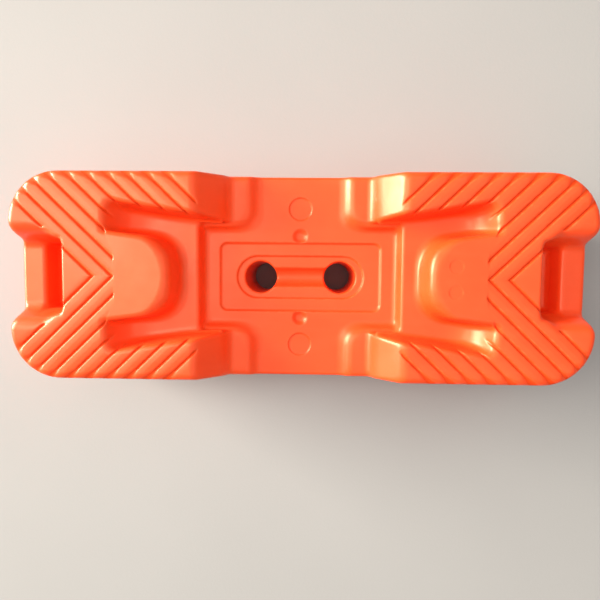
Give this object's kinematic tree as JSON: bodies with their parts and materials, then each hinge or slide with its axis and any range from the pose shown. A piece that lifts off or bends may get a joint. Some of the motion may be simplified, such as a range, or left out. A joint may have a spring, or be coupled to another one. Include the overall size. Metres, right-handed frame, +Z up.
{
  "type": "temporary fence foot",
  "caption": "Hollow blow-moulded ballast foot for temporary fence panels: tapered post holes, end carry handles, chevron tread pads and screw-plugged fill openings underneath.",
  "frame": {"origin": "middle of the block on its ground face", "axes": "+X along the length, towards the filler plug's end; +Y across; +Z up, out of the treaded face"},
  "size_m": [0.6, 0.22, 0.15],
  "materials": {
    "shell_plastic": "satin",
    "concrete": "matte",
    "plug_plastic": "satin",
    "seal_rubber": "matte"
  },
  "bodies": {
    "foot": {"shell": "shell_plastic", "ballast_core": "concrete"},
    "filler_seal": {"filler_gasket": "seal_rubber"},
    "filler_closure": {"filler_plug": "plug_plastic"},
    "vent_seal": {"vent_gasket": "seal_rubber"},
    "vent_closure": {"vent_plug": "plug_plastic"}
  },
  "joints": [
    {"name": "filler_lift", "type": "slide", "parent": "foot", "child": "filler_seal", "axis": [0, 0, -1], "range_m": [0, 0.014]},
    {"name": "filler_turn", "type": "hinge", "parent": "filler_seal", "child": "filler_closure", "pos_m": [0.15, 0, 0], "axis": [0, 0, -1], "range_deg": [0, 1260]},
    {"name": "vent_lift", "type": "slide", "parent": "foot", "child": "vent_seal", "axis": [0, 0, -1], "range_m": [0, 0.01]},
    {"name": "vent_turn", "type": "hinge", "parent": "vent_seal", "child": "vent_closure", "pos_m": [-0.15, 0, 0], "axis": [0, 0, -1], "range_deg": [0, 1440]}
  ],
  "couplings": [
    {"joint": "filler_lift", "follows": "filler_turn", "m_per_rad": 0.000636},
    {"joint": "vent_lift", "follows": "vent_turn", "m_per_rad": 0.000397}
  ]
}
